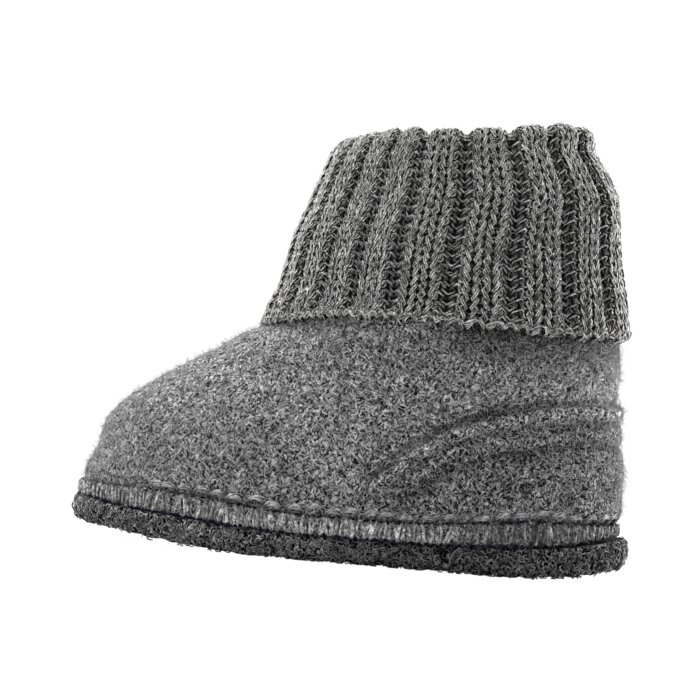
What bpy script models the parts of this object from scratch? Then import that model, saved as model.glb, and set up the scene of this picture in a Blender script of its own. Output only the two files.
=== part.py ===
"""A child's left felt slipper boot with a ribbed, turned-down cuff.

The toe points to -X, the outer side of the foot to -Y, and up is +Z. Every
length in this file is in millimetres until a mesh is made. A point of the
shoe is given by its turn, an angle around the foot that starts at the toe and
passes the outer side, the heel and the inner side, and by its height.
"""
import math

import bpy
import numpy as np

MM = 0.001

# Driving dimensions.
LENGTH = 152.0             # outsole, toe to heel
SOLE_EDGE = (2.8, 1.4)     # how far in the sole's edge is rounded, under and on top
FELT = 3.0                 # wall of the felt upper
KNIT = 2.9                 # one layer of the knitted cuff
GAP = 0.3                  # clearance between pieces that touch
LOOSE = 0.7                # play between the felt and the cuff that hangs over it
BAND_THICK = 1.3           # seam band around the foot of the upper
BAND_TUCK = BAND_THICK + GAP
COUNTER_THICK = 1.3        # felt heel counter on the outside
INSOLE_THICK = 3.0
COLLAR = 78.0              # rim of the felt, inside the cuff
LINING = 1.0               # room inside the cuff's fold, between its two layers
CUFF_LEAN = 4.0            # how much lower the cuff's top is on the inner side of the foot
INSOLE_BEVEL = 0.6
BAND_ROUND = (0.35, 0.15)  # how far in, and over what part of its height, the band is rounded
LIP = (1.1, 0.2, 3.2)      # felt over the band: two heights above it, the first set in a little
LEVEL_FROM = 30.0          # above this height the felt's rings are level
FOLLOW = 1.6               # how much the rings below it follow the sole's rise to toe and heel
FELT_LEVELS = (21.0, 25.5, 30.0, 34.0, 38.5, 43.0, 47.5, 52.0, 56.0, 59.5, 62.5, 66.0, 71.0, 78.0)
COUNTER_CLEAR = 1.4        # from the band's upper edge to the counter
COUNTER_GRID = (6, 37)     # rows and columns of the counter
HEM_ROUND = (0.9, 0.03)    # how far in, and over what part of its drop, the cuff's hem is rounded
CUFF_INNER_LEVELS = (98.0, 88.0)
AROUND = 64                # points in a full turn

# Felt, yarn and sole colours: name, colour, roughness.
FINISHES = {
    "sole": ((0.045, 0.045, 0.045), 0.95),
    "insole": ((0.20, 0.20, 0.20), 0.92),
    "seam_band": ((0.17, 0.17, 0.175), 0.92),
    "upper": ((0.16, 0.16, 0.16), 0.94),
    "heel_counter": ((0.13, 0.13, 0.13), 0.94),
    "cuff": ((0.12, 0.12, 0.115), 0.90),
}


def table(columns, *rows):
    """Rows of numbers as one array per named column."""
    return dict(zip(columns.split(), np.array(rows, dtype=float).T))


# Along the sole, as a part of its length from toe to heel. swing is where the
# middle of the foot lies to the inner side, full is half the width before the
# ends are rounded in, under and top are the heights of the two faces.
SOLE = table(
    "along swing full under top",
    (0.00, 3.0, 39.0, 3.3, 10.4),
    (0.10, 2.2, 39.0, 2.4, 8.9),
    (0.22, 0.8, 37.4, 0.8, 8.1),
    (0.32, -0.4, 35.4, 0.0, 7.3),
    (0.45, -1.4, 32.4, 0.0, 6.8),
    (0.60, -1.8, 28.8, 0.0, 7.0),
    (0.78, -1.0, 31.6, 0.0, 7.8),
    (0.90, -0.4, 34.6, 1.0, 9.2),
    (1.00, 0.0, 37.0, 3.7, 12.1),
)

# Height of the seam band, on the same scale.
BAND = table(
    "along tall",
    (0.00, 3.8),
    (0.12, 5.9),
    (0.25, 6.3),
    (0.42, 5.5),
    (0.62, 5.4),
    (0.74, 6.3),
    (0.86, 7.1),
    (0.94, 5.4),
    (1.00, 3.4),
)

# Outer face of the felt at each height: the front and back ends, and half the
# width, before the ends are rounded in, at five places from front to back.
UPPER = table(
    "height front back toe ball waist heel end",
    (6.0, 0.7, 148.6, 37.0, 34.6, 28.2, 31.4, 36.0),
    (11.0, 1.1, 148.5, 37.0, 34.9, 28.8, 31.7, 36.0),
    (19.0, 3.7, 148.0, 36.0, 34.6, 29.4, 31.8, 35.5),
    (27.0, 6.0, 147.2, 33.0, 33.0, 29.4, 31.6, 34.5),
    (31.4, 7.4, 146.8, 30.0, 31.4, 29.2, 31.2, 34.0),
    (35.2, 10.0, 146.4, 27.0, 29.6, 29.0, 31.0, 33.5),
    (40.0, 15.2, 145.5, 24.0, 27.6, 29.0, 30.8, 33.0),
    (44.5, 21.8, 145.2, 22.5, 26.4, 29.2, 30.8, 32.5),
    (49.0, 29.0, 145.3, 21.5, 26.0, 29.6, 31.0, 32.0),
    (53.5, 36.2, 145.4, 21.0, 26.2, 30.2, 31.2, 31.6),
    (58.0, 43.2, 145.3, 21.5, 27.4, 30.8, 31.4, 31.2),
    (60.0, 46.8, 145.1, 22.5, 28.4, 31.0, 31.4, 31.0),
    (62.0, 50.0, 144.9, 23.5, 29.2, 31.2, 31.4, 31.0),
    (64.5, 52.2, 144.6, 24.0, 29.6, 31.3, 31.4, 30.8),
    (70.0, 54.4, 143.8, 24.6, 29.8, 31.3, 31.3, 30.4),
    (79.0, 56.4, 142.2, 25.0, 29.8, 31.1, 31.0, 29.8),
)

# Outer face of the turned-down cuff, in the same columns.
CUFF = table(
    "height front back toe ball waist heel end",
    (59.0, 44.2, 147.9, 26.0, 32.0, 34.6, 35.0, 34.4),
    (62.0, 45.9, 147.8, 26.8, 32.8, 34.8, 35.0, 34.2),
    (66.0, 47.9, 147.5, 27.4, 33.2, 35.0, 35.0, 34.0),
    (71.0, 50.6, 146.8, 27.8, 33.2, 34.8, 34.7, 33.6),
    (79.0, 52.6, 145.0, 28.0, 33.0, 34.4, 34.2, 33.0),
    (87.0, 54.5, 143.2, 27.8, 32.6, 33.8, 33.6, 32.0),
    (95.0, 57.0, 142.5, 27.6, 32.0, 33.2, 33.0, 31.2),
    (102.0, 59.4, 141.9, 27.4, 31.6, 32.6, 32.2, 30.6),
    (109.0, 61.8, 138.2, 27.0, 31.2, 32.2, 31.4, 29.6),
    (116.0, 66.0, 133.4, 26.6, 30.8, 31.8, 30.8, 28.6),
)
PLACES = (0.0, 0.30, 0.58, 0.82, 1.0)
PLACE_NAMES = ("toe", "ball", "waist", "heel", "end")

# Lower edge and top of the cuff around the leg, front to back, before it leans.
CUFF_EDGES = table(
    "along hem top",
    (0.00, 61.5, 115.4),
    (0.08, 63.8, 116.3),
    (0.20, 66.6, 117.8),
    (0.45, 67.8, 118.9),
    (0.75, 67.4, 121.5),
    (0.92, 66.8, 123.6),
    (1.00, 66.5, 123.6),
)

# Upper edge of the heel counter: along the sole, and its height.
COUNTER_EDGE = table(
    "along height",
    (0.53, 19.0),
    (0.56, 25.0),
    (0.61, 32.6),
    (0.69, 40.2),
    (0.77, 44.2),
    (0.85, 46.2),
    (0.93, 47.6),
    (1.00, 47.8),
)
COUNTER_TURN = math.acos(1.0 - 2.0 * COUNTER_EDGE["along"][0])


def curve_through(places, values, at, guard=True):
    """Read a cubic curve through rows; guard keeps it between its rows' values."""
    places = np.asarray(places, dtype=float)
    values = np.asarray(values, dtype=float)
    steps = np.diff(places)
    slopes = np.diff(values) / steps
    if guard:
        same = slopes[1:] * slopes[:-1] > 0.0
        total = np.where(same, slopes[1:] + slopes[:-1], 1.0)
        inner = np.where(same, 2.0 * slopes[1:] * slopes[:-1] / total, 0.0)
    else:
        inner = (slopes[:-1] * steps[1:] + slopes[1:] * steps[:-1]) / (steps[1:] + steps[:-1])
    tangents = np.concatenate((slopes[:1], inner, slopes[-1:]))
    at = np.clip(np.asarray(at, dtype=float), places[0], places[-1])
    row = np.clip(np.searchsorted(places, at, side="right") - 1, 0, len(steps) - 1)
    step = steps[row]
    part = (at - places[row]) / step
    rest = 1.0 - part
    ends = values[row] * (1.0 + 2.0 * part) * rest**2 + values[row + 1] * (3.0 - 2.0 * part) * part**2
    return ends + step * part * rest * (tangents[row] * rest - tangents[row + 1] * part)


def read(rows, column, at):
    """Read a column of a table at places along its first column."""
    first = next(iter(rows))
    return curve_through(rows[first], rows[column], at)


def along_of(turn):
    """How far from the front to the back a turn lies, 0 to 1."""
    return (1.0 - np.cos(turn)) / 2.0


def swing(x):
    """Where the middle of the foot lies at a distance from the toe."""
    return read(SOLE, "swing", x / LENGTH)


def sole_top(turn):
    return read(SOLE, "top", along_of(turn))


def band_top(turn):
    return sole_top(turn) + read(BAND, "tall", along_of(turn))


def sole_outline(turn, inset):
    """Plan of the sole, moved in by inset."""
    along = along_of(turn)
    x = inset + (LENGTH - 2.0 * inset) * along
    half = read(SOLE, "full", along) - inset
    return x, swing(x) - np.sin(turn) * half


def form_point(rows, turn, height, inset):
    """Outer face of the felt or the cuff, moved in by inset, as x and y."""
    along = along_of(turn)
    front = read(rows, "front", height) + inset
    back = read(rows, "back", height) - inset
    half = -inset
    for number, name in enumerate(PLACE_NAMES):
        share = curve_through(PLACES, np.eye(len(PLACES))[number], along, guard=False)
        half = half + share * read(rows, name, height)
    x = front + (back - front) * along
    return x, swing(x) - np.sin(turn) * half


def full_turn():
    return 2.0 * math.pi * np.arange(AROUND) / AROUND


def sole_ring(inset, part):
    """One ring of a plate that lies on the sole: part is 0 under it, 1 on top."""
    turn = full_turn()
    x, y = sole_outline(turn, inset)
    along = x / LENGTH
    under = read(SOLE, "under", along)
    top = read(SOLE, "top", along)
    return np.stack((x, y, under + (top - under) * part), axis=-1)


def upper_ring(height, inset):
    """One ring of the felt at one height for each point."""
    x, y = form_point(UPPER, full_turn(), height, inset)
    return np.stack((x, y, height), axis=-1)


def foot_ring(height, inset):
    """One ring of the upright stretch behind the seam band."""
    x, y = form_point(UPPER, full_turn(), band_top(full_turn()), inset)
    return np.stack((x, y, height), axis=-1)


def ring_faces(count, rings, closed):
    """Quads between rings that lie one above another."""
    faces = []
    for low in range(rings if closed else rings - 1):
        high = (low + 1) % rings
        for here in range(count):
            after = (here + 1) % count
            faces.append((low * count + here, low * count + after,
                          high * count + after, high * count + here))
    return faces


def cap_faces(start, count, upwards):
    """Strips across a ring, from its outer side to its inner side."""
    faces = []
    for here in range(count // 2):
        corners = (here, here + 1, count - here - 1, (count - here) % count)
        face = [start + corner for corner in dict.fromkeys(corners)]
        faces.append(face if upwards else face[::-1])
    return faces


def patch_faces(rows, columns):
    """Quads of an open grid."""
    faces = []
    for row in range(rows - 1):
        for column in range(columns - 1):
            corner = row * columns + column
            faces.append((corner, corner + 1, corner + columns + 1, corner + columns))
    return faces


def make_piece(name, points, faces):
    """Put points in millimetres and faces into a named, coloured object."""
    mesh = bpy.data.meshes.new(name)
    corners = np.asarray(points, dtype=float).reshape(-1, 3) * MM
    mesh.from_pydata(corners.tolist(), [], faces)
    mesh.validate()
    mesh.shade_smooth()
    colour, roughness = FINISHES[name]
    material = bpy.data.materials.new(name)
    material.use_nodes = True
    shader = material.node_tree.nodes["Principled BSDF"]
    shader.inputs["Base Color"].default_value = (*colour, 1.0)
    shader.inputs["Roughness"].default_value = roughness
    shader.inputs["Metallic"].default_value = 0.0
    mesh.materials.append(material)
    return bpy.data.objects.new(name, mesh)


def add_wall(piece, thickness, side):
    """Give an open surface a wall: side -1 grows it inwards, 1 outwards."""
    wall = piece.modifiers.new("wall", "SOLIDIFY")
    wall.thickness = thickness * MM
    wall.offset = side
    wall.use_even_offset = True
    wall.thickness_clamp = 1.0


def plate(name, rings):
    """A solid between a first, lowest ring and a last, highest one."""
    count = len(rings[0])
    faces = ring_faces(count, len(rings), closed=False)
    faces += cap_faces(0, count, upwards=False)
    faces += cap_faces((len(rings) - 1) * count, count, upwards=True)
    return make_piece(name, np.concatenate(rings), faces)


def make_sole():
    """Felt outsole with toe spring, a flat tread and a rounded edge."""
    rings = []
    for angle in np.radians((-90, -60, -30, 0, 30, 60, 90)):
        reach = SOLE_EDGE[0] if angle < 0.0 else SOLE_EDGE[1]
        rings.append(sole_ring(reach * (1.0 - math.cos(angle)), (1.0 + math.sin(angle)) / 2.0))
    return plate("sole", rings)


def make_insole():
    """Loose felt footbed inside the foot of the upper."""
    clear = BAND_TUCK + FELT + 2.0 * GAP
    base = sole_top(full_turn()) + GAP
    bevel = INSOLE_BEVEL
    rings = []
    for inset, rise in ((bevel, 0.0), (0.0, bevel), (0.0, INSOLE_THICK - bevel), (bevel, INSOLE_THICK)):
        rings.append(foot_ring(base + rise, clear + inset))
    return plate("insole", rings)


def make_seam_band():
    """Stitched band that closes the upper onto the sole."""
    base = sole_top(full_turn()) + GAP
    tall = band_top(full_turn()) - GAP - base
    edge, part = BAND_ROUND
    section = ((BAND_THICK, 0.0), (edge, 0.0), (0.0, part), (0.0, 1.0 - part), (edge, 1.0), (BAND_THICK, 1.0))
    rings = [foot_ring(base + tall * share, inset) for inset, share in section]
    return make_piece("seam_band", np.concatenate(rings), ring_faces(AROUND, len(rings), closed=True))


def make_upper():
    """Felt upper, open underneath and at the collar."""
    top_of_band = band_top(full_turn())
    lip_low, lip_inset, lip_high = LIP
    rings = [
        foot_ring(sole_top(full_turn()) + GAP, BAND_TUCK),
        foot_ring(top_of_band, BAND_TUCK),
        upper_ring(top_of_band + lip_low, lip_inset),
        upper_ring(top_of_band + lip_high, 0.0),
    ]
    rise = sole_top(full_turn()) - SOLE["top"].min()
    for height in FELT_LEVELS:
        part = max(0.0, (LEVEL_FROM - height) / LEVEL_FROM)
        rings.append(upper_ring(height + FOLLOW * part * rise, 0.0))
    upper = make_piece("upper", np.concatenate(rings), ring_faces(AROUND, len(rings), closed=False))
    add_wall(upper, FELT, side=-1.0)
    return upper


def make_heel_counter():
    """Felt counter on the outside of the heel, ending in a point on each side."""
    rows, columns = COUNTER_GRID
    turn = np.linspace(COUNTER_TURN, 2.0 * math.pi - COUNTER_TURN, columns)
    low = band_top(turn) + COUNTER_CLEAR
    high = read(COUNTER_EDGE, "height", along_of(turn))
    points = []
    for part in np.linspace(0.0, 1.0, rows):
        height = low + (high - low) * part
        x, y = form_point(UPPER, turn, height, -GAP)
        points.append(np.stack((x, y, height), axis=-1))
    counter = make_piece("heel_counter", np.concatenate(points), patch_faces(rows, columns))
    add_wall(counter, COUNTER_THICK, side=1.0)
    return counter


def make_cuff():
    """Knitted cuff: one layer inside the leg, folded down outside over the felt."""
    turn = full_turn()
    along = along_of(turn)
    hem = read(CUFF_EDGES, "hem", along)
    top = read(CUFF_EDGES, "top", along) - CUFF_LEAN * (1.0 - np.sin(turn)) / 2.0
    double = 2.0 * KNIT + LINING
    fold = double / 2.0
    shoulder = top - fold
    seat = COLLAR + GAP
    rings = []

    def add_ring(rows, height, inset):
        x, y = form_point(rows, turn, np.minimum(height, rows["height"][-1]), inset)
        rings.append(np.stack((x, y, height), axis=-1))

    add_ring(CUFF, hem, HEM_ROUND[0])
    for part in (HEM_ROUND[1], 0.25, 0.5, 0.75):
        add_ring(CUFF, hem + (shoulder - hem) * part, 0.0)
    for angle in np.radians((0, 30, 60, 90, 120, 150, 180)):
        add_ring(CUFF, shoulder + fold * math.sin(angle), fold * (1.0 - math.cos(angle)))
    for height in (*CUFF_INNER_LEVELS, seat):
        add_ring(CUFF, height + 0.0 * turn, double)
    for part in (1.0, 0.75, 0.5, 0.25, 0.0):
        add_ring(UPPER, hem + (seat - hem) * part, -LOOSE)
    return make_piece("cuff", np.concatenate(rings), ring_faces(AROUND, len(rings), closed=True))


def middle_of(pieces):
    """Middle of the pieces' box in plan, in metres."""
    corners = np.concatenate([[tuple(v.co) for v in piece.data.vertices] for piece in pieces])
    return (corners.min(axis=0) + corners.max(axis=0)) / 2.0


def build():
    for old in list(bpy.data.objects):
        bpy.data.objects.remove(old, do_unlink=True)
    slipper = bpy.data.collections.new("slipper")
    bpy.context.scene.collection.children.link(slipper)
    sole = make_sole()
    cuff = make_cuff()
    pieces = (sole, make_insole(), make_seam_band(), make_upper(), make_heel_counter(), cuff)
    stand = bpy.data.objects.new("slipper_origin", None)
    slipper.objects.link(stand)
    centre = middle_of((sole, cuff))
    stand.location = (-centre[0], -centre[1], 0.0)
    for piece in pieces:
        slipper.objects.link(piece)
        piece.parent = stand


build()
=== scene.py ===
import math

import bpy
import numpy as np
from mathutils import Matrix, Vector


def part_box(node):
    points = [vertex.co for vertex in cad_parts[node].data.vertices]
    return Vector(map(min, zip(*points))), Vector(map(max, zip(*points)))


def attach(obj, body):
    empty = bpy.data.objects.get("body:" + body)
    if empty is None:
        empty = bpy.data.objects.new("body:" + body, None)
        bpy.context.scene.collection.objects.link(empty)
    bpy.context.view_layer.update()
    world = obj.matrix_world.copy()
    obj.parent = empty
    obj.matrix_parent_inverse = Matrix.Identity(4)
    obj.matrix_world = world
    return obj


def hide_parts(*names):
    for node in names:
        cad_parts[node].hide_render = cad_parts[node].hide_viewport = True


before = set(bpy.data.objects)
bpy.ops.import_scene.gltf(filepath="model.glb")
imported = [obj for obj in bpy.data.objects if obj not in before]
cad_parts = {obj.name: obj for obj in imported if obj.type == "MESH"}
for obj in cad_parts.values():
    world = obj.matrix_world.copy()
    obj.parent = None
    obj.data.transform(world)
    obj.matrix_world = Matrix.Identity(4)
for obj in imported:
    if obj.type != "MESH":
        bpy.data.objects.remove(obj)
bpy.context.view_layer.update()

# A child's left felt slipper boot. Shapes are worked out in millimetres, with x from the
# tip of the toe, y to the inner side of the foot and z up from the floor. A place on the
# shoe has a turn, the angle around the foot from the toe over the outer side, and a height.

mm = 0.001
fullTurn = 2 * math.pi
fineSteps = 2880  # around a ring, where its length is measured


def rowsOf(columns, *rows):  # a short table as one array for each named column
    return dict(zip(columns.split(), np.array(rows, dtype=float).T))


def curveThrough(places, values, at, guard=True):
    # cubic Hermite through the rows; guard takes harmonic slopes, so it never overshoots
    places, values = np.array(places, float), np.array(values, float)
    steps = np.diff(places)
    slopes = np.diff(values) / steps
    before, after = slopes[:-1], slopes[1:]
    if guard:
        same = before * after > 0
        inner = np.where(same, 2 * after * before / np.where(same, after + before, 1.0), 0.0)
    else:
        inner = (before * steps[1:] + after * steps[:-1]) / (steps[1:] + steps[:-1])
    tangents = np.concatenate((slopes[:1], inner, slopes[-1:]))
    at = np.clip(at, places[0], places[-1])
    row = np.clip(np.searchsorted(places, at, side="right") - 1, 0, len(steps) - 1)
    step = steps[row]
    part = (at - places[row]) / step
    rest = 1 - part
    ends = values[row] * (1 + 2 * part) * rest**2 + values[row + 1] * (3 - 2 * part) * part**2
    return ends + step * part * rest * (tangents[row] * rest - tangents[row + 1] * part)


def read(rows, column, at):  # a column read at places along the table's first column
    return curveThrough(rows[next(iter(rows))], rows[column], at)


def ease(low, high, value):  # 0 below low, 1 above high, 3t^2 - 2t^3 between
    part = np.clip((value - low) / (high - low), 0, 1)
    return part * part * (3 - 2 * part)


def unit(vectors):  # each as long as one
    return vectors / np.maximum(np.linalg.norm(vectors, axis=-1, keepdims=True), 1e-9)


def swell(middle, reach, value):  # 1 at middle, down to 0 at reach on either side, (1 - d^2)^2
    part = np.clip(np.abs(value - middle) / reach, 0, 1)
    return (1 - part * part)**2


# the slipper's form, the same rows as its solids
form = {
    "length": 152.0,  # outsole, toe to heel
    "wall": 3.0,  # felt
    "knit": 2.9,  # one layer of the cuff
    "gap": 0.3,  # between pieces that touch
    "band": 1.3,  # thickness of the stitched band
    "collar": 78.0,  # rim of the felt, inside the cuff
    "lean": 4.0,  # how much lower the cuff's top is on the inner side of the foot
}
soleRows = rowsOf(
    "along swing full under top",
    (0.00, 3.0, 39.0, 3.3, 10.4),
    (0.10, 2.2, 39.0, 2.4, 8.9),
    (0.22, 0.8, 37.4, 0.8, 8.1),
    (0.32, -0.4, 35.4, 0.0, 7.3),
    (0.45, -1.4, 32.4, 0.0, 6.8),
    (0.60, -1.8, 28.8, 0.0, 7.0),
    (0.78, -1.0, 31.6, 0.0, 7.8),
    (0.90, -0.4, 34.6, 1.0, 9.2),
    (1.00, 0.0, 37.0, 3.7, 12.1),
)
bandRows = rowsOf(
    "along tall",
    (0.00, 3.8),
    (0.12, 5.9),
    (0.25, 6.3),
    (0.42, 5.5),
    (0.62, 5.4),
    (0.74, 6.3),
    (0.86, 7.1),
    (0.94, 5.4),
    (1.00, 3.4),
)
upperRows = rowsOf(
    "height front back toe ball waist heel end",
    (6.0, 0.7, 148.6, 37.0, 34.6, 28.2, 31.4, 36.0),
    (11.0, 1.1, 148.5, 37.0, 34.9, 28.8, 31.7, 36.0),
    (19.0, 3.7, 148.0, 36.0, 34.6, 29.4, 31.8, 35.5),
    (27.0, 6.0, 147.2, 33.0, 33.0, 29.4, 31.6, 34.5),
    (31.4, 7.4, 146.8, 30.0, 31.4, 29.2, 31.2, 34.0),
    (35.2, 10.0, 146.4, 27.0, 29.6, 29.0, 31.0, 33.5),
    (40.0, 15.2, 145.5, 24.0, 27.6, 29.0, 30.8, 33.0),
    (44.5, 21.8, 145.2, 22.5, 26.4, 29.2, 30.8, 32.5),
    (49.0, 29.0, 145.3, 21.5, 26.0, 29.6, 31.0, 32.0),
    (53.5, 36.2, 145.4, 21.0, 26.2, 30.2, 31.2, 31.6),
    (58.0, 43.2, 145.3, 21.5, 27.4, 30.8, 31.4, 31.2),
    (60.0, 46.8, 145.1, 22.5, 28.4, 31.0, 31.4, 31.0),
    (62.0, 50.0, 144.9, 23.5, 29.2, 31.2, 31.4, 31.0),
    (64.5, 52.2, 144.6, 24.0, 29.6, 31.3, 31.4, 30.8),
    (70.0, 54.4, 143.8, 24.6, 29.8, 31.3, 31.3, 30.4),
    (79.0, 56.4, 142.2, 25.0, 29.8, 31.1, 31.0, 29.8),
)
cuffRows = rowsOf(
    "height front back toe ball waist heel end",
    (59.0, 44.2, 147.9, 26.0, 32.0, 34.6, 35.0, 34.4),
    (62.0, 45.9, 147.8, 26.8, 32.8, 34.8, 35.0, 34.2),
    (66.0, 47.9, 147.5, 27.4, 33.2, 35.0, 35.0, 34.0),
    (71.0, 50.6, 146.8, 27.8, 33.2, 34.8, 34.7, 33.6),
    (79.0, 52.6, 145.0, 28.0, 33.0, 34.4, 34.2, 33.0),
    (87.0, 54.5, 143.2, 27.8, 32.6, 33.8, 33.6, 32.0),
    (95.0, 57.0, 142.5, 27.6, 32.0, 33.2, 33.0, 31.2),
    (102.0, 59.4, 141.9, 27.4, 31.6, 32.6, 32.2, 30.6),
    (109.0, 61.8, 138.2, 27.0, 31.2, 32.2, 31.4, 29.6),
    (116.0, 66.0, 133.4, 26.6, 30.8, 31.8, 30.8, 28.6),
)
cuffEdges = rowsOf(
    "along hem top",
    (0.00, 61.5, 115.4),
    (0.08, 63.8, 116.3),
    (0.20, 66.6, 117.8),
    (0.45, 67.8, 118.9),
    (0.75, 67.4, 121.5),
    (0.92, 66.8, 123.6),
    (1.00, 66.5, 123.6),
)
counterEdge = rowsOf(
    "along height",
    (0.53, 19.0),
    (0.56, 25.0),
    (0.61, 32.6),
    (0.69, 40.2),
    (0.77, 44.2),
    (0.85, 46.2),
    (0.93, 47.6),
    (1.00, 47.8),
)
widthPlaces = (0.0, 0.30, 0.58, 0.82, 1.0)
widthNames = ("toe", "ball", "waist", "heel", "end")


def alongOf(turn):  # how far back a turn lies: half of one minus its cosine
    return (1 - np.cos(turn)) / 2


def swing(x):
    return read(soleRows, "swing", x / form["length"])


def soleTop(turn):
    return read(soleRows, "top", alongOf(turn))


def bandTop(turn):
    return soleTop(turn) + read(bandRows, "tall", alongOf(turn))


def formPoint(rows, turn, height, inset):
    # an oval between the front and back ends: x by the cosine of the turn, y by its sine
    # times a half width that is blended from five places, all moved in by inset
    along = alongOf(turn)
    front = read(rows, "front", height) + inset
    back = read(rows, "back", height) - inset
    half = -inset + 0 * along
    for number, name in enumerate(widthNames):
        share = curveThrough(widthPlaces, np.eye(len(widthPlaces))[number], along, guard=False)
        half = half + share * read(rows, name, height)
    x = front + (back - front) * along
    return np.stack((x, swing(x) - np.sin(turn) * half, height + 0 * x), axis=-1)


def footPoint(turn, height, inset):  # the upright stretch behind the stitched band
    point = formPoint(upperRows, turn, bandTop(turn), inset)
    point[..., 2] = height
    return point


def solePoint(turn, inset, part):  # plan of the sole moved in by inset, part 0 below, 1 on top
    along = alongOf(turn)
    x = inset + (form["length"] - 2 * inset) * along
    half = read(soleRows, "full", along) - inset
    under = read(soleRows, "under", x / form["length"])
    top = read(soleRows, "top", x / form["length"])
    return np.stack((x, swing(x) - np.sin(turn) * half, under + (top - under) * part), axis=-1)


def evenTurns(rows, height, count):  # turns that cut one level of a form into equal lengths
    fine = np.linspace(0, fullTurn, fineSteps + 1)
    ring = formPoint(rows, fine, height + 0 * fine, 0.0)
    run = np.concatenate(([0.0], np.cumsum(np.linalg.norm(np.diff(ring, axis=0), axis=1))))
    return np.interp(np.arange(count) / count * run[-1], run, fine)


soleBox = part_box("sole")
soleSide = solePoint(np.linspace(0, fullTurn, 721), 0.0, 0.5)[:, 1].max()
toWorld = np.array((soleBox[0][0] / mm, soleBox[1][1] / mm - soleSide, 0.0))


def cellValues(cells, seed):  # an even random number for each whole-numbered cell
    mixed = cells.astype(np.int64) @ np.array((73856093, 19349663, 83492791)) + seed * 9781
    mixed = (mixed ^ (mixed >> 13)) * 1274126177
    mixed = (mixed ^ (mixed >> 16)) * 668265263
    return ((mixed >> 11) & 0xFFFF) / 65535.0


def softNoise(points, size, seed):
    # random values at the corners of cells of one size, eased between them, -1 to 1
    scaled = points / size
    cell = np.floor(scaled)
    part = scaled - cell
    part = part * part * (3 - 2 * part)
    total = 0
    for corner in np.ndindex(2, 2, 2):
        weight = np.prod(np.where(corner, part, 1 - part), axis=-1)
        total = total + weight * cellValues(cell + corner, seed)
    return 2 * total - 1


def noiseVectors(points, size, seed):
    return np.stack([softNoise(points, size, seed + axis) for axis in range(3)], axis=-1)


def aheadOf(points):  # along each row of points, from the one before to the one after
    return np.roll(points, -1, axis=1) - np.roll(points, 1, axis=1)


def ringNormals(grid):  # outward across a grid whose rows and columns both close
    up = np.roll(grid, -1, axis=0) - np.roll(grid, 1, axis=0)
    return unit(np.cross(aheadOf(grid), up))


def gridFaces(rows, columns, closeRows, closeColumns):  # quads, anticlockwise from outside
    row = np.arange(rows if closeRows else rows - 1)[:, None]
    column = np.arange(columns if closeColumns else columns - 1)[None, :]
    after = (column + 1) % columns
    low = row * columns
    high = (row + 1) % rows * columns
    quads = (low + column, low + after, high + after, high + column)
    return np.stack(quads, axis=-1).reshape(-1, 4)


def closedGrid(grid):  # as a mesh, when its rows and columns both close
    return grid, [gridFaces(*grid.shape[:2], True, True)]


def makePiece(name, made, finish, node, **depths):
    # made is points in millimetres, arrays of faces of one size each and, for yarn, a uv row a
    # corner; depths, 0 to 1 a point, paint shade: where the yarn lies hollow, with the band stitches'
    # own random tone, and where the felt is creased or shaded, with a painted highlight on a ridge
    points, faceSets, *uv = made
    mesh = bpy.data.meshes.new(name)
    corners = (points.reshape(-1, 3) + toWorld) * mm
    loops = np.concatenate([faces.ravel() for faces in faceSets]).astype(np.int32)
    sizes = np.concatenate([np.full(len(faces), faces.shape[1]) for faces in faceSets])
    mesh.vertices.add(len(corners))
    mesh.vertices.foreach_set("co", corners.astype(np.float32).ravel())
    mesh.loops.add(len(loops))
    mesh.loops.foreach_set("vertex_index", loops)
    mesh.polygons.add(len(sizes))
    mesh.polygons.foreach_set("loop_start", (np.cumsum(sizes) - sizes).astype(np.int32))
    if uv:
        layer = mesh.uv_layers.new(name="yarn")
        layer.data.foreach_set("uv", uv[0].astype(np.float32).ravel())
    for attribute, depth in depths.items():
        layer = mesh.attributes.new(attribute, "FLOAT", "POINT")
        layer.data.foreach_set("value", depth.astype(np.float32).ravel())
    mesh.update(calc_edges=True)
    mesh.shade_smooth()
    mesh.materials.append(finishes[finish])
    piece = bpy.data.objects.new(name, mesh)
    bpy.context.scene.collection.objects.link(piece)
    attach(piece, "root")
    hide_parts(node)
    print(f"{name}: {int((sizes - 2).sum())} triangles")


def squareTo(ahead, outward):  # outward leaned until it is square to ahead, and across both
    ahead = unit(ahead)
    up = unit(outward - (outward * ahead).sum(-1, keepdims=True) * ahead)
    return up, np.cross(ahead, up)


def ringsAround(centres, radii, ahead, outward, sides):
    # the centre plus the radius times cosine outward and sine across
    up, across = squareTo(ahead, outward)
    angle = fullTurn * np.arange(sides)[:, None] / sides
    ring = np.cos(angle) * up[..., None, :] + np.sin(angle) * across[..., None, :]
    return centres[..., None, :] + radii[..., None, None] * ring


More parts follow.
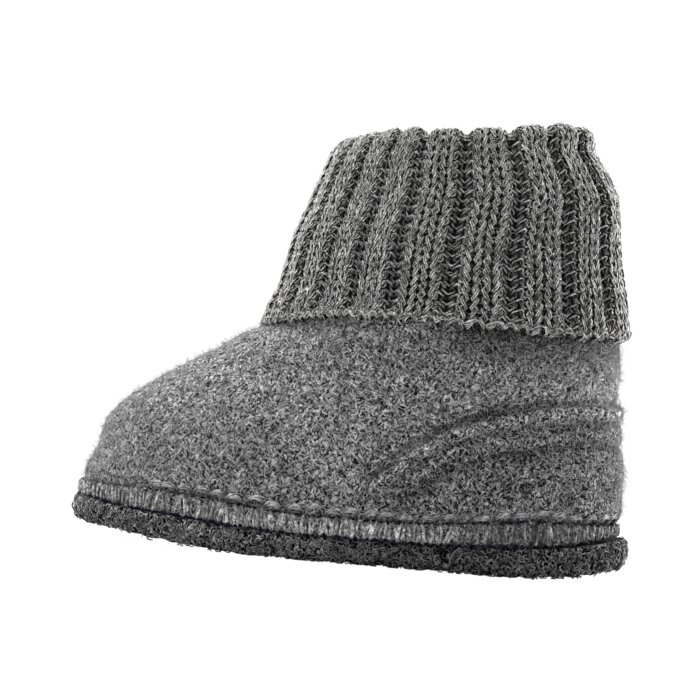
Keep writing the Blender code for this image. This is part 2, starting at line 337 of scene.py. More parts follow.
def tubes(paths, radii, outward, sides, closed, start=0.0):
    # a ring around each point of each path; uv is the length so far and the part around
    ahead = aheadOf(paths)
    if not closed:
        ahead[:, 0] = paths[:, 1] - paths[:, 0]
        ahead[:, -1] = paths[:, -1] - paths[:, -2]
    count, steps = paths.shape[:2]
    points = ringsAround(paths, np.broadcast_to(radii, (count, steps)), ahead, outward, sides)
    begins = np.arange(count)[:, None, None] * steps * sides
    faceSets = [(gridFaces(steps, sides, closed, True) + begins).reshape(-1, 4)]
    gone = np.linalg.norm(np.roll(paths, -1, axis=1) - paths, axis=-1)
    run = np.cumsum(gone, axis=1) - gone + start
    rows = steps if closed else steps - 1
    low = np.broadcast_to(run[:, :rows, None], (count, rows, sides))
    high = low + gone[:, :rows, None]
    left = np.broadcast_to(np.arange(sides) / sides, low.shape)
    right = left + 1 / sides
    uv = np.stack((low, left, low, right, high, right, high, left), axis=-1).reshape(-1, 2)
    if not closed:
        cap = np.arange(sides)
        first = cap[::-1] + begins[:, 0]
        final = cap + begins[:, 0] + (steps - 1) * sides
        faceSets.append(np.concatenate((first, final)))
        ends = np.concatenate((run[:, :1], run[:, -1:])).repeat(sides, axis=1)
        uv = np.concatenate((uv, np.stack((ends, 0 * ends), axis=-1).reshape(-1, 2)))
    return points, faceSets, uv


def spikes(paths, radii, outward, start):
    # on each two-point path a three-sided cone: a closed base at the first point, its tip at
    # the second; uv as for tubes
    ahead = paths[:, 1] - paths[:, 0]
    length = np.linalg.norm(ahead, axis=-1, keepdims=True)
    base = ringsAround(paths[:, 0], radii[:, 0], ahead, outward[:, 0], 3)
    points = np.concatenate((base, paths[:, 1:]), axis=1)
    corners = np.array(((0, 1, 3), (1, 2, 3), (2, 0, 3), (0, 2, 1)))
    faces = (corners + 4 * np.arange(len(paths))[:, None, None]).reshape(-1, 3)
    along = np.where(corners == 3, length[:, None], 0.0) + start[:, None]
    around = np.broadcast_to(np.where(corners == 3, 0.5, corners / 3), along.shape)
    return points, [faces], np.stack((along, around), axis=-1).reshape(-1, 2)


def joined(*meshes):  # several (points, faceSets, uv) as one
    points, faceSets, uvs, offset = [], [], [], 0
    for places, faces, uv in meshes:
        flat = places.reshape(-1, 3)
        points.append(flat)
        faceSets += [one + offset for one in faces]
        uvs.append(uv)
        offset += len(flat)
    return np.concatenate(points), faceSets, np.concatenate(uvs)


# shader node helpers: a value is a number, a grey, a colour or another node's output

def feed(socket, value):
    if isinstance(value, bpy.types.NodeSocket):
        socket.id_data.links.new(value, socket)
    elif socket.type == "RGBA":
        socket.default_value = (*np.broadcast_to(value, 3), 1.0)
    else:
        socket.default_value = value


def addNode(tree, kind, inputs=None, **settings):
    node = tree.nodes.new("ShaderNode" + kind)
    for name, value in settings.items():
        setattr(node, name, value)
    for socket, value in (inputs or {}).items():
        feed(node.inputs[socket], value)
    return node


def nodeOf(kind, values, **settings):  # fed in turn by values, one or more another node's output
    tree = next(value.id_data for value in values if isinstance(value, bpy.types.NodeSocket))
    return addNode(tree, kind, dict(enumerate(values)), **settings)


def mathOf(operation, *values):
    return nodeOf("Math", values, operation=operation).outputs[0]


def times(first, second):
    return mathOf("MULTIPLY", first, second)


def plus(first, second):
    return mathOf("ADD", first, second)


def minus(first, second):
    return mathOf("SUBTRACT", first, second)


def vectorOf(operation, first, second):
    return nodeOf("VectorMath", (first, second), operation=operation).outputs[0]


def scaled(vector, amount):
    inputs = {0: vector, "Scale": amount}
    return addNode(vector.id_data, "VectorMath", inputs, operation="SCALE").outputs[0]


def rangeOf(value, low, high, to=(0.0, 1.0)):  # smooth step from one range to another
    return nodeOf("MapRange", (value, low, high, *to), interpolation_type="SMOOTHSTEP").outputs[0]


def mixOf(factor, first, second):
    inputs = {0: factor, 6: first, 7: second}
    return addNode(factor.id_data, "Mix", inputs, data_type="RGBA").outputs[2]


def noiseOf(place, scale, detail=2.0, roughness=0.5, output=0):
    inputs = {"Vector": place, "Scale": scale, "Detail": detail, "Roughness": roughness}
    return addNode(place.id_data, "TexNoise", inputs).outputs[output]


def newGroup(name, inputs, outputs):
    # a node group with named sockets, its numbers with a value and its places with None: the
    # group, what it is given and its result
    tree = bpy.data.node_groups.new(name, "ShaderNodeTree")
    for socket, value in inputs.items():
        kind = "NodeSocketVector" if value is None else "NodeSocketFloat"
        made = tree.interface.new_socket(socket, in_out="INPUT", socket_type=kind)
        if value is not None:
            made.default_value = value
    for socket in outputs:
        tree.interface.new_socket(socket, in_out="OUTPUT", socket_type="NodeSocketFloat")
    return tree, tree.nodes.new("NodeGroupInput").outputs, tree.nodes.new("NodeGroupOutput").inputs


def useGroup(tree, group, **values):
    node = tree.nodes.new("ShaderNodeGroup")
    node.node_tree = group
    for socket, value in values.items():
        feed(node.inputs[socket], value)
    return node.outputs


# curly wool: strands of noise drawn out along their slant, in three layers
curls = {
    "slants": ((0.3, -0.95, 0.3), (1.4, 0.75, -0.3), (-0.8, -0.3, 1.3)),  # turns, radians
    "stretch": (2.4, 0.66, 0.66),
    "bend": (0.5, 2.6),  # scale and reach of the noise that bends them
    "patch": (0.4, 0.46, 0.54),  # scale of the patches in which the first two swap, and their edge
    # each lower layer dimmer, as painted shade
    "bright": (1.0, 0.8, 0.6),
    "soft": 0.05,  # edge of a strand, either side of its level
    "shadow": (0.10, 0.15),  # how far beside a strand it reaches, and how dark it is
    "ground": (0.9, 0.36, 0.64),
}


def makeWoolCurls():
    # wavy strands in three layers, each where a noise stretched along its own slant and bent by
    # a slower noise passes Level; patches change which of two slants lies on top, and a layer
    # paints a shadow on the ones below it beside its strands; Place is in millimetres
    tree, given, result = newGroup(
        "woolCurls",
        {"Place": None, "Size": 1.0, "Level": 0.53},
        ("Hairs", "Ground"),
    )
    place = scaled(given["Place"], mathOf("DIVIDE", 1.0, given["Size"]))
    scale, reach = curls["bend"]
    bend = vectorOf("SUBTRACT", noiseOf(place, scale, detail=1.0, output=1), (0.5, 0.5, 0.5))
    bent = vectorOf("ADD", place, scaled(bend, reach))
    strands = []
    for slant in curls["slants"]:
        inputs = {"Vector": bent, "Rotation": slant, "Scale": curls["stretch"]}
        turned = addNode(tree, "Mapping", inputs, vector_type="TEXTURE").outputs[0]
        strands.append(noiseOf(turned, 1.0, detail=0.5))
    first, second, third = strands
    scale, *edge = curls["patch"]
    change = times(minus(second, first), rangeOf(noiseOf(place, scale, detail=1.0), *edge))
    layers = (plus(first, change), minus(second, change), third)
    low = minus(given["Level"], curls["soft"])
    high = plus(given["Level"], curls["soft"])
    reach, dark = curls["shadow"]
    begin = minus(low, reach)
    hairs, clear = 0.0, 1.0
    for layer, bright in zip(layers, curls["bright"]):
        strand = times(rangeOf(layer, low, high), bright)
        hairs = mathOf("MAXIMUM", hairs, times(strand, clear))
        clear = times(clear, rangeOf(layer, begin, low, (1.0, dark)))
    feed(result["Hairs"], hairs)
    scale, *edge = curls["ground"]
    feed(result["Ground"], times(rangeOf(noiseOf(bent, scale), *edge), clear))
    return tree


# spun yarn
spin = {
    "lean": 0.55,  # how far its hairs turn around it, radians a millimetre
    "hair": (0.42, 1.5, 1.1),  # how drawn out they are, how close around it, and their scale
    "hairEdge": (0.37, 0.61),
    "marl": (0.55, 0.7, 1.3),  # scale and shades of its darker and lighter lengths
    "outer": 0.85,  # cosine from which a place faces out
    "between": 0.50,  # what is left of the hairs between the plies, as painted shade
    "matting": (0.85, 0.545, 1.3),  # size, level and brightness of loose wool's curls
    "deep": 0.04,  # painted shade where it lies deepest
    "rough": (0.82, 0.96),
    "bump": (0.6, 0.22),  # strength, and depth in millimetres
}


def makeYarnPlies():
    # plies wound around the yarn as a ridge of cos(plies around + length / pitch), and long fine
    # hairs, noise stretched along the yarn; uv is length in mm and part around, which starts on
    # the yarn's outer side, so its cosine says how far out a place faces
    tree, given, result = newGroup(
        "yarnPlies",
        {"Yarn": None, "Place": None, "Pitch": 5.0, "Plies": 2.0},
        ("Hairs", "Ply", "Marl", "Outer"),
    )
    length, part = addNode(tree, "SeparateXYZ", {0: given["Yarn"]}).outputs[:2]
    around = times(part, fullTurn)
    wound = times(mathOf("DIVIDE", length, given["Pitch"]), fullTurn)
    ply = mathOf("COSINE", times(plus(times(around, given["Plies"]), wound), 0.5))
    feed(result["Ply"], mathOf("ABSOLUTE", ply))
    lean = plus(around, times(length, spin["lean"]))
    drawn, close, scale = spin["hair"]
    hair = addNode(tree, "CombineXYZ", {
        0: times(length, drawn),
        1: times(mathOf("COSINE", lean), close),
        2: times(mathOf("SINE", lean), close),
    }).outputs[0]
    feed(result["Hairs"], rangeOf(noiseOf(hair, scale, detail=1.0), *spin["hairEdge"]))
    feed(result["Marl"], noiseOf(given["Place"], spin["marl"][0]))
    feed(result["Outer"], rangeOf(mathOf("COSINE", around), 0.0, spin["outer"]))
    return tree


woolCurls = makeWoolCurls()
yarnPlies = makeYarnPlies()


def newMaterial(name, sheen):  # with its tree, its shader's inputs and the place in millimetres
    material = bpy.data.materials.new(name)
    material.use_nodes = True
    tree = material.node_tree
    shader = tree.nodes["Principled BSDF"].inputs
    shader["Sheen Weight"].default_value = sheen
    shader["Sheen Roughness"].default_value = 0.35
    shader["Specular IOR Level"].default_value = 0.1
    return material, tree, shader, scaled(addNode(tree, "TexCoord").outputs["Object"], 1 / mm)


def feedShader(shader, colour, rough, height, strength, depth):  # depth of the bumps in mm
    feed(shader["Base Color"], colour)
    feed(shader["Roughness"], rough)
    inputs = {"Height": height, "Strength": strength, "Distance": depth * mm}
    feed(shader["Normal"], addNode(height.id_data, "Bump", inputs).outputs[0])


boiled = {  # boiled wool
    "patch": (0.28, 0.32, 0.68),  # scale of its soft patches, and their edge
    "grain": (2.2, 0.5),  # scale of its grain, and what is left of the hairs where it is low
    "crease": (1.8, 0.2),  # painted highlight on a ridge, and painted shade in a crease or a shaded place
    "rough": (0.84, 0.98),
    "bump": (1.0, 0.35),  # strength, and depth in millimetres
}


def makeFelt(name, dark, middle, light, size=1.0, level=0.53, mottle=0.25, sheen=0.3):
    # pale curly hairs over a ground of dark pits, partly the felt's darker fibres and partly painted shade
    # between the hairs, in soft patches; the attribute crease, -1 to 1, paints a highlight
    # on a ridge and paints shade in a crease, a seam or a shaded place
    material, tree, shader, place = newMaterial(name, sheen)
    wool = useGroup(tree, woolCurls, Place=place, Size=size, Level=level)
    scale, *edge = boiled["patch"]
    patches = noiseOf(place, scale, detail=3.0, roughness=0.6)
    scale, left = boiled["grain"]
    grain = noiseOf(place, scale, detail=1.0)
    hairs = times(wool["Hairs"], rangeOf(grain, 0.34, 0.60, (left, 1.0)))
    colour = mixOf(hairs, mixOf(wool["Ground"], dark, middle), light)
    crease = addNode(tree, "Attribute", attribute_name="crease").outputs["Fac"]
    shade = rangeOf(patches, *edge, (1 - mottle, 1 + mottle))
    # painted shade, and a painted highlight on the counter's bead, from the attribute crease
    shade = times(shade, rangeOf(crease, -1.0, 1.0, boiled["crease"]))
    rough = rangeOf(grain, 0.3, 0.7, boiled["rough"])
    height = plus(hairs, times(wool["Ground"], 0.5))
    feedShader(shader, scaled(colour, shade), rough, height, *boiled["bump"])
    return material


def makeYarn(name, dark, light, pitch=5.0, plies=2.0, sheen=0.3, edge=0.25, matted=0.0):
    # pale hairs, with painted shade between the plies, on the yarn's sides, where edge is what is left,
    # and where it lies deep; matted is how much of the spun look gives way to curls of loose wool over the
    # yarn
    material, tree, shader, place = newMaterial(name, sheen)
    yarn = addNode(tree, "UVMap", uv_map="yarn").outputs[0]
    hollow = addNode(tree, "Attribute", attribute_name="hollow").outputs["Fac"]
    spun = useGroup(tree, yarnPlies, Yarn=yarn, Place=place, Pitch=pitch, Plies=plies)
    hairs = times(spun["Hairs"], rangeOf(spun["Ply"], 0.0, 0.75, (spin["between"], 1.0)))
    if matted:
        size, level, bright = spin["matting"]
        wool = useGroup(tree, woolCurls, Place=place, Size=size, Level=level)
        hairs = plus(hairs, times(minus(times(wool["Hairs"], bright), hairs), matted))
    shade = rangeOf(spun["Marl"], 0.32, 0.68, spin["marl"][1:])
    shade = times(shade, rangeOf(spun["Outer"], 0.0, 1.0, (edge, 1.0)))
    shade = times(shade, rangeOf(hollow, 0.0, 1.0, (1.0, spin["deep"])))
    rough = rangeOf(spun["Marl"], 0.3, 0.7, spin["rough"])
    height = plus(times(spun["Hairs"], 0.5), spun["Ply"])
    feedShader(shader, scaled(mixOf(hairs, dark, light), shade), rough, height, *spin["bump"])
    return material


finishes = {  # linear greys from the darkest to the palest, or colours, red, green and blue
    "upper": makeFelt("upperFelt", 0.003, 0.038, 0.67, size=0.85, level=0.545, mottle=0.28, sheen=0.36),
    # the counter's felt is the upper's felt made darker, with fewer pale hairs, as painted shade on the
    # heel
    "counter": makeFelt("counterFeltPaintedShade", 0.002, 0.020, 0.56, size=0.85, level=0.580, sheen=0.10),
    "insole": makeFelt("insoleFelt", 0.05, 0.16, 0.5, size=1.3),
    "sole": makeFelt("soleFelt", 0.001, 0.002, 0.62, size=0.95, level=0.600, mottle=0.45, sheen=0.0),
    "curl": makeYarn("soleYarn", 0.002, 0.70, pitch=2.5, edge=0.04, sheen=0.0),
    "cuff": makeYarn(
        "cuffYarn", (0.00408, 0.004, 0.00392), (0.7373, 0.73, 0.7227), edge=0.08, sheen=0.04, matted=0.45
    ),
    # a near-black felt for the sheet of painted shade inside the cuff
    "shadeSheet": makeFelt("paintedShadeSheet", 0.002, 0.008, 0.17, size=0.8, sheen=0.0),
    "band": makeYarn("bandYarn", 0.03, 0.90, pitch=2.0, edge=0.42, matted=0.6),
    "loop": makeYarn("loopYarn", 0.04, 0.72, pitch=2.0, edge=0.30, matted=0.2),
    "fibre": makeYarn("looseWool", 0.30, 0.86, plies=0.0, edge=1.0, sheen=1.0),
    "thread": makeYarn("navyThread", (0.002, 0.0025, 0.008), (0.012, 0.014, 0.040), pitch=1.6, sheen=0.05),
}
print("materials made")


# felt upper: one closed shell, outer face from the foot up, over the collar and down inside
felt = {
    "columns": 520,
    "level": 20.0,  # height of the ring along which its columns lie evenly
    "bodyRows": 94,
    "innerRows": 16,
    "covered": (20, 24),  # rows under the cuff: without loose wool, and with smaller lumps
    "lip": (2.6, 7),  # height and rows of the rounded lower edge over the band
    "hidden": 1.7,  # how much thinner the felt is under the cuff
    "thins": (-2.0, 3.0),  # from where below the hem to where above it
    "rim": (1.0, 3),  # height and rows of the collar's rounded rim
    "lumps": ((6.0, 0.30), (2.7, 0.20), (1.4, 0.15)),  # size and height of the uneven surface
    "bulge": (3.5, 4.5, 0.5),  # its middle over the lower edge, its reach, and how far it swells
    "dip": 0.5,  # depth of a full crease
    "hemSpan": (66.0, 52.0, 92.0),  # the hem's level, where the cuff starts there, and its length
    "shade": (15.0, 0.86),  # how far below the hem it is in the cuff's shade, and how much
    # around the toe, from and to what height above the band, and how much
    "footShade": (32.0, 14.0, 0.24),
}


# heel counter: a felt patch with a rolled bead along its top edge and stitched grooves
counter = {
    "columns": 300,
    "rows": 48,
    "thick": 1.3,
    "clear": 2.5,  # from the band's upper edge
    # distance below the top edge, reach and extra height: the bead, a soft band and a pocket
    "swells": ((2.3, 2.5, 0.9), (7.8, 3.4, 0.5), (18.0, 6.5, 0.5)),
    "grooves": ((5.0, 0.9, 0.45), (11.4, 1.0, 0.8)),  # distance below the edge, reach, depth
    "creases": (  # painted shade in the creases: distance below the edge, reach, and darkness at the front and at the heel
        (-0.8, 1.9, 0.70, 0.22),
        (5.0, 1.2, 0.16, 0.50),
        (11.4, 1.1, 0.74, 0.56),
        (13.4, 3.0, 0.18, 0.08),
    ),
    "ridge": (2.2, 2.2, 0.60),  # the same for the painted highlight on the bead
    "lumps": ((6.0, 0.20), (2.4, 0.16), (1.3, 0.112)),
}


def lumpsAt(points, lumps, seed, shape=np.positive):  # a sum of noises, size and height of each
    lift = 0
    for number, (size, height) in enumerate(lumps):
        lift = lift + height * shape(softNoise(points, size, seed + number))
    return lift


def belowEdge(turn, height):  # distance across from the counter's upper edge, and how far inside its ends
    along = alongOf(turn)
    high = read(counterEdge, "height", along)
    step = 0.01
    face = formPoint(upperRows, turn, high, 0.0)
    after = read(counterEdge, "height", alongOf(turn + step))
    ahead = formPoint(upperRows, turn + step, after, 0.0) - face
    steep = ahead[..., 2] / np.maximum(np.linalg.norm(ahead[..., :2], axis=-1), 1e-6)
    inside = ease(0.0, 0.02, along - counterEdge["along"][0])
    return (high - height) / np.sqrt(1 + steep**2), inside


def creaseAt(below, turn):  # painted shade of the deepest crease at a distance below the edge, less the painted highlight on the bead
    toHeel = ease(0.80, 0.97, alongOf(turn))
    depths = []
    for middle, reach, front, heel in counter["creases"]:
        depths.append((front + (heel - front) * toHeel) * swell(middle, reach, below))
    middle, reach, pale = counter["ridge"]
    return np.max(depths, axis=0) - pale * swell(middle, reach, below)


def hemOver(turn):  # height of the cuff's hem in front of the felt at this turn
    level, start, length = felt["hemSpan"]
    x = formPoint(upperRows, turn, level + 0 * turn, 0.0)[..., 0]
    return read(cuffEdges, "hem", np.clip((x - start) / length, 0, 1))


def feltBody(turn):
    base = soleTop(turn) + form["gap"]
    tuck = form["band"] + form["gap"]
    edge = bandTop(turn)
    tall, lipRows = felt["lip"]
    hem = hemOver(turn)
    middle, reach, swells = felt["bulge"]
    rows = [footPoint(turn, base, tuck), footPoint(turn, (base + edge) / 2, tuck)]
    for angle in np.linspace(0, math.pi / 2, lipRows, endpoint=False):
        height = edge + tall * (1 - math.cos(angle))
        rows.append(formPoint(upperRows, turn, height, tuck * (1 - math.sin(angle))))
    low = edge + tall
    for part in np.linspace(0, 1, felt["bodyRows"]):
        height = low + (form["collar"] - low) * part
        under = felt["hidden"] * ease(*felt["thins"], height - hem)
        bulge = swells * swell(middle, reach, height - edge)
        rows.append(formPoint(upperRows, turn, height, under - bulge))
    outer = len(rows)
    rise, rimRows = felt["rim"]
    wide = (form["wall"] - felt["hidden"]) / 2
    for angle in np.linspace(0, math.pi, rimRows + 2)[1:-1]:
        inset = felt["hidden"] + wide * (1 - math.cos(angle))
        height = form["collar"] - rise * math.cos(angle)**2 + 0 * turn
        rows.append(formPoint(upperRows, turn, height, inset))
    for part in np.linspace(1, 0, felt["innerRows"]):
        height = low + (form["collar"] - rise - low) * part
        rows.append(formPoint(upperRows, turn, height, form["wall"]))
    rows.append(footPoint(turn, edge, tuck + form["wall"]))
    rows.append(footPoint(turn, base, tuck + form["wall"]))
    return np.stack(rows), outer


def feltShade(turn, grid):  # the cuff's painted shade below the hem, full painted shade on the felt hidden under it, and painted shade around the foot of the toe
    reach, dark = felt["shade"]
    above = grid[..., 2] - hemOver(turn)
    dark = dark * ease(0.40, 0.62, alongOf(turn))
    shade = dark * ease(-reach, 0.5, above) + (1 - dark) * ease(1.0, 3.0, above)
    high, low, dark = felt["footShade"]
    dark = dark * (1 - ease(0.25, 0.50, alongOf(turn)))
    return shade, dark * (1 - ease(low, high, grid[..., 2] - bandTop(turn)))


def makeUpper():
    turn = evenTurns(upperRows, felt["level"], felt["columns"])
    grid, outer = feltBody(turn)
    bare, smoother = felt["covered"]
    amount = np.full(grid.shape[:2], 0.5)
    amount[:2] = 0.0
    amount[2:outer] = 1.0
    amount[outer - smoother:] *= 0.5
    amount[-2:] = 0.0
    below, inside = belowEdge(turn, grid[..., 2])
    # these values dent the felt along the counter's edge and also paint shade there
    crease = creaseAt(below, turn) * inside * (below < 1.0)
    crease[outer:] = 0.0
    grid = grid - ringNormals(grid) * (felt["dip"] * crease)[..., None]
    shade, footShade = feltShade(turn, grid)
    crease = np.maximum(crease, shade)
    crease[2:outer] = np.maximum(crease, footShade)[2:outer]
    grid = grid + ringNormals(grid) * (lumpsAt(grid, felt["lumps"], 11) * amount)[..., None]
    makePiece("feltUpper", closedGrid(grid), "upper", "upper", crease=crease)
    return grid[2:outer - bare]


upperGrid = makeUpper()


def makeCounter():
    start = math.acos(1 - 2 * counterEdge["along"][0])
    turn = np.linspace(start, fullTurn - start, counter["columns"])
    low = bandTop(turn) + counter["clear"]
    high = read(counterEdge, "height", alongOf(turn))
    height = low + (high - low) * np.linspace(0, 1, counter["rows"])[:, None]
    turns = turn + 0 * height
    face = formPoint(upperRows, turns, height, 0.0)
    run = np.linalg.norm(np.gradient(face[-1, :, :2], axis=0), axis=-1)
    steep = np.gradient(high) / np.maximum(run, 1e-6)
    below = (high - height) / np.sqrt(1 + steep**2)  # distance across from the top edge
    lift = counter["thick"] * ease(-0.6, 1.4, below) * ease(-1.0, 1.4, height - low)
    for middle, reach, rise in counter["swells"]:
        lift = lift + rise * swell(middle, reach, below)
    for middle, reach, depth in counter["grooves"]:
        lift = lift - depth * swell(middle, reach, below)
    ends = ease(0, 0.03, np.linspace(0, 1, counter["columns"]))
    lift = lift * ends * ends[::-1] + lumpsAt(face, counter["lumps"], 31)
    outer = formPoint(upperRows, turns, height, -form["gap"] - np.maximum(lift, 0.15))
    back = formPoint(upperRows, turns[[-1, 0]], height[[-1, 0]], -0.1)
    grid = np.concatenate((outer, back))
    crease = np.zeros(grid.shape[:2])
    # painted shade in the creases and a painted highlight on the bead
    crease[:-2] = creaseAt(below, turns) * ends * ends[::-1]
    faces = gridFaces(len(grid), counter["columns"], True, False)
    rings = np.arange(len(grid)) * counter["columns"]
    caps = np.stack((rings[::-1], rings + counter["columns"] - 1))
    makePiece("feltCounter", (grid, [faces, caps]), "counter", "heel_counter", crease=crease)
    return outer


counterGrid = makeCounter()


# felt outsole: rounded edge rings, closed below by strips across the foot and above likewise
sole = {
    "columns": 520,
    "level": 12.0,
    "edge": (2.8, 1.4),  # how far in the edge is rounded, under and on top
    "edgeRows": 18,
    "across": (44, 2),  # steps across it, below and on top
    "lumps": ((5.0, 0.25), (2.2, 0.35), (1.3, 0.32)),
    "under": (0.45, 0.5),  # how far in its underside's lumps start, and how tall they are
    "rise": 0.65,  # how far in from the form the edge's lumps start
    "lowest": 0.02,  # over the floor
    "darker": (45.0, 105.0, 0.50),  # from where to where along the foot painted shade darkens it, and how much
}


def plateMesh(rings, across, crossPoint):
    # a closed plate from rings, lowest first; each flat face is filled by strips that run
    # across from ring point n to ring point -n, with inner points from crossPoint
    rows, columns = rings.shape[:2]
    points = [rings.reshape(-1, 3)]
    faceSets = [gridFaces(rows, columns, False, True)]
    half = columns // 2
    offset = rows * columns
    left = np.arange(1, half)
    for ring, steps, upward in ((0, across[0], False), (rows - 1, across[1], True)):
        share = np.arange(1, steps) / steps
        start = rings[ring, left][:, None]
        end = rings[ring, columns - left][:, None]
        inner = start + (end - start) * share[:, None]
        points.append(crossPoint(inner, upward).reshape(-1, 3))
        table = offset + np.arange(len(left) * len(share)).reshape(len(left), len(share))
        offset += table.size
        first = ring * columns + left[:, None]
        last = ring * columns + columns - left[:, None]
        table = np.concatenate((first, table, last), axis=1)
        near, far = table[:-1], table[1:]
        quads = np.stack((near[:, :-1], far[:, :-1], far[:, 1:], near[:, 1:]), axis=-1).reshape(-1, 4)
        tips = []
        for pole, row in ((ring * columns, table[0]), (ring * columns + half, table[-1][::-1])):
            tips.append(np.stack((np.full(steps, pole), row[:-1], row[1:]), axis=-1))
        turned = slice(None) if upward else slice(None, None, -1)
        faceSets += [quads[:, turned], np.concatenate(tips)[:, turned]]
    return np.concatenate(points), faceSets


def heelShade(points):  # painted shade, darker toward the heel, by the place along the foot
    low, high, shade = sole["darker"]
    return shade * ease(low, high, points[..., 0])


def makeSole():
    turn = evenTurns(upperRows, sole["level"], sole["columns"])
    rings = []
    for angle in np.linspace(-math.pi / 2, math.pi / 2, sole["edgeRows"]):
        reach = sole["edge"][0] if angle < 0 else sole["edge"][1]
        rings.append(solePoint(turn, reach * (1 - math.cos(angle)), (1 + math.sin(angle)) / 2))
    rings = np.stack(rings)
    normal = unit(np.cross(aheadOf(rings), np.gradient(rings, axis=0)))
    lift = lumpsAt(rings, sole["lumps"], 51, np.abs) - sole["rise"]
    upperSide = ease(0.85, 1.0, np.linspace(0, 1, len(rings)))[:, None]
    rings = rings + normal * (lift * (1 - upperSide))[..., None]
    rings[..., 2] = np.maximum(rings[..., 2], sole["lowest"])

    def crossPoint(inner, upward):
        if not upward:
            start, tall = sole["under"]
            height = inner[..., 2] + start - tall * lumpsAt(inner, sole["lumps"], 51, np.abs)
            inner[..., 2] = np.maximum(height, sole["lowest"])
        return inner

    made = plateMesh(rings, sole["across"], crossPoint)
    makePiece("feltSole", made, "sole", "sole", crease=heelShade(made[0]))
    return rings[1:-2]


soleGrid = makeSole()


# insole: a loose felt footbed
insole = {
    "columns": 240,
    "level": 14.0,
    "thick": 3.0,
    "bevel": 0.8,
    "edgeRows": 7,
    "across": (2, 30),
    "lumps": ((6.0, 0.2), (2.5, 0.12)),
}


def makeInsole():
    turn = evenTurns(upperRows, insole["level"], insole["columns"])
    clear = form["band"] + form["wall"] + 3 * form["gap"]
    base = soleTop(turn) + form["gap"]
    rings = []
    for angle in np.linspace(-math.pi / 2, math.pi / 2, insole["edgeRows"]):
        height = base + insole["thick"] * (1 + math.sin(angle)) / 2
        rings.append(footPoint(turn, height, clear + insole["bevel"] * (1 - math.cos(angle))))

    def crossPoint(inner, upward):
        if upward:
            for number, (size, height) in enumerate(insole["lumps"]):
                inner[..., 2] = inner[..., 2] + height * softNoise(inner, size, 71 + number)
        return inner

    made = plateMesh(np.stack(rings), insole["across"], crossPoint)
    makePiece("feltInsole", made, "insole", "insole")


makeInsole()


# loose wool lying on a surface: fine arcs, a few with an end that stands off
def scatterWool(grid, count, seed, kind):
    # a place in a cell picked by its area; a hair of length half s is bent to an arc through the
    # angle curl s, which lies half / curl times its sine ahead and one minus its cosine aside; it
    # rises by arch (1 - s^2) and by fly (s + 1)^2, with s from -1 to 1 along the hair
    half, least, more, arch, fly, loose, sink, radius, taper, points = wools[kind]
    random = np.random.default_rng(seed)

    def spread(low, reach):
        return low + reach * random.random((count, 1, 1))

    across = grid[:-1, 1:] - grid[:-1, :-1]
    upward = grid[1:, :-1] - grid[:-1, :-1]
    normal = np.cross(across, upward)
    area = np.linalg.norm(normal, axis=-1)
    share = np.cumsum(area.ravel())
    cell = np.searchsorted(share, random.random(count) * share[-1])
    row, column = np.unravel_index(np.minimum(cell, area.size - 1), area.shape)
    first, second = random.random((2, count, 1))
    base = grid[row, column] + first * across[row, column] + second * upward[row, column]
    normal = unit(normal)[row, column]
    level = unit(across[row, column])
    other = np.cross(normal, level)
    facing = random.random((count, 1)) * fullTurn
    ahead = np.cos(facing) * level + np.sin(facing) * other
    aside = np.cos(facing) * other - np.sin(facing) * level
    half = half * spread(0.6, 0.8)
    curl = spread(least, more) * random.choice((-1, 1), (count, 1, 1))
    arch = arch * spread(0.4, 1.0)
    fly = fly * (spread(0.0, 1.0) < loose) * spread(0.0, 1.0)
    s = np.linspace(-1, 1, points)[None, :, None]
    reach = half / curl
    path = base[:, None] + reach * np.sin(curl * s) * ahead[:, None]
    path = path + reach * (1 - np.cos(curl * s)) * aside[:, None]
    path = path + (sink + arch * (1 - s * s) + fly * (s + 1)**2 / 4) * normal[:, None]
    radii = radius * (1 - taper * s[..., 0]**2) * spread(0.75, 0.5)[..., 0]
    path[..., 2] = np.maximum(path[..., 2], radii + 0.02)
    outward = normal[:, None] + 0 * path
    start = 90.0 * random.random((count, 1))
    if points == 2:
        return spikes(path, radii, outward, start)
    return tubes(path, radii, outward, 3, False, start)


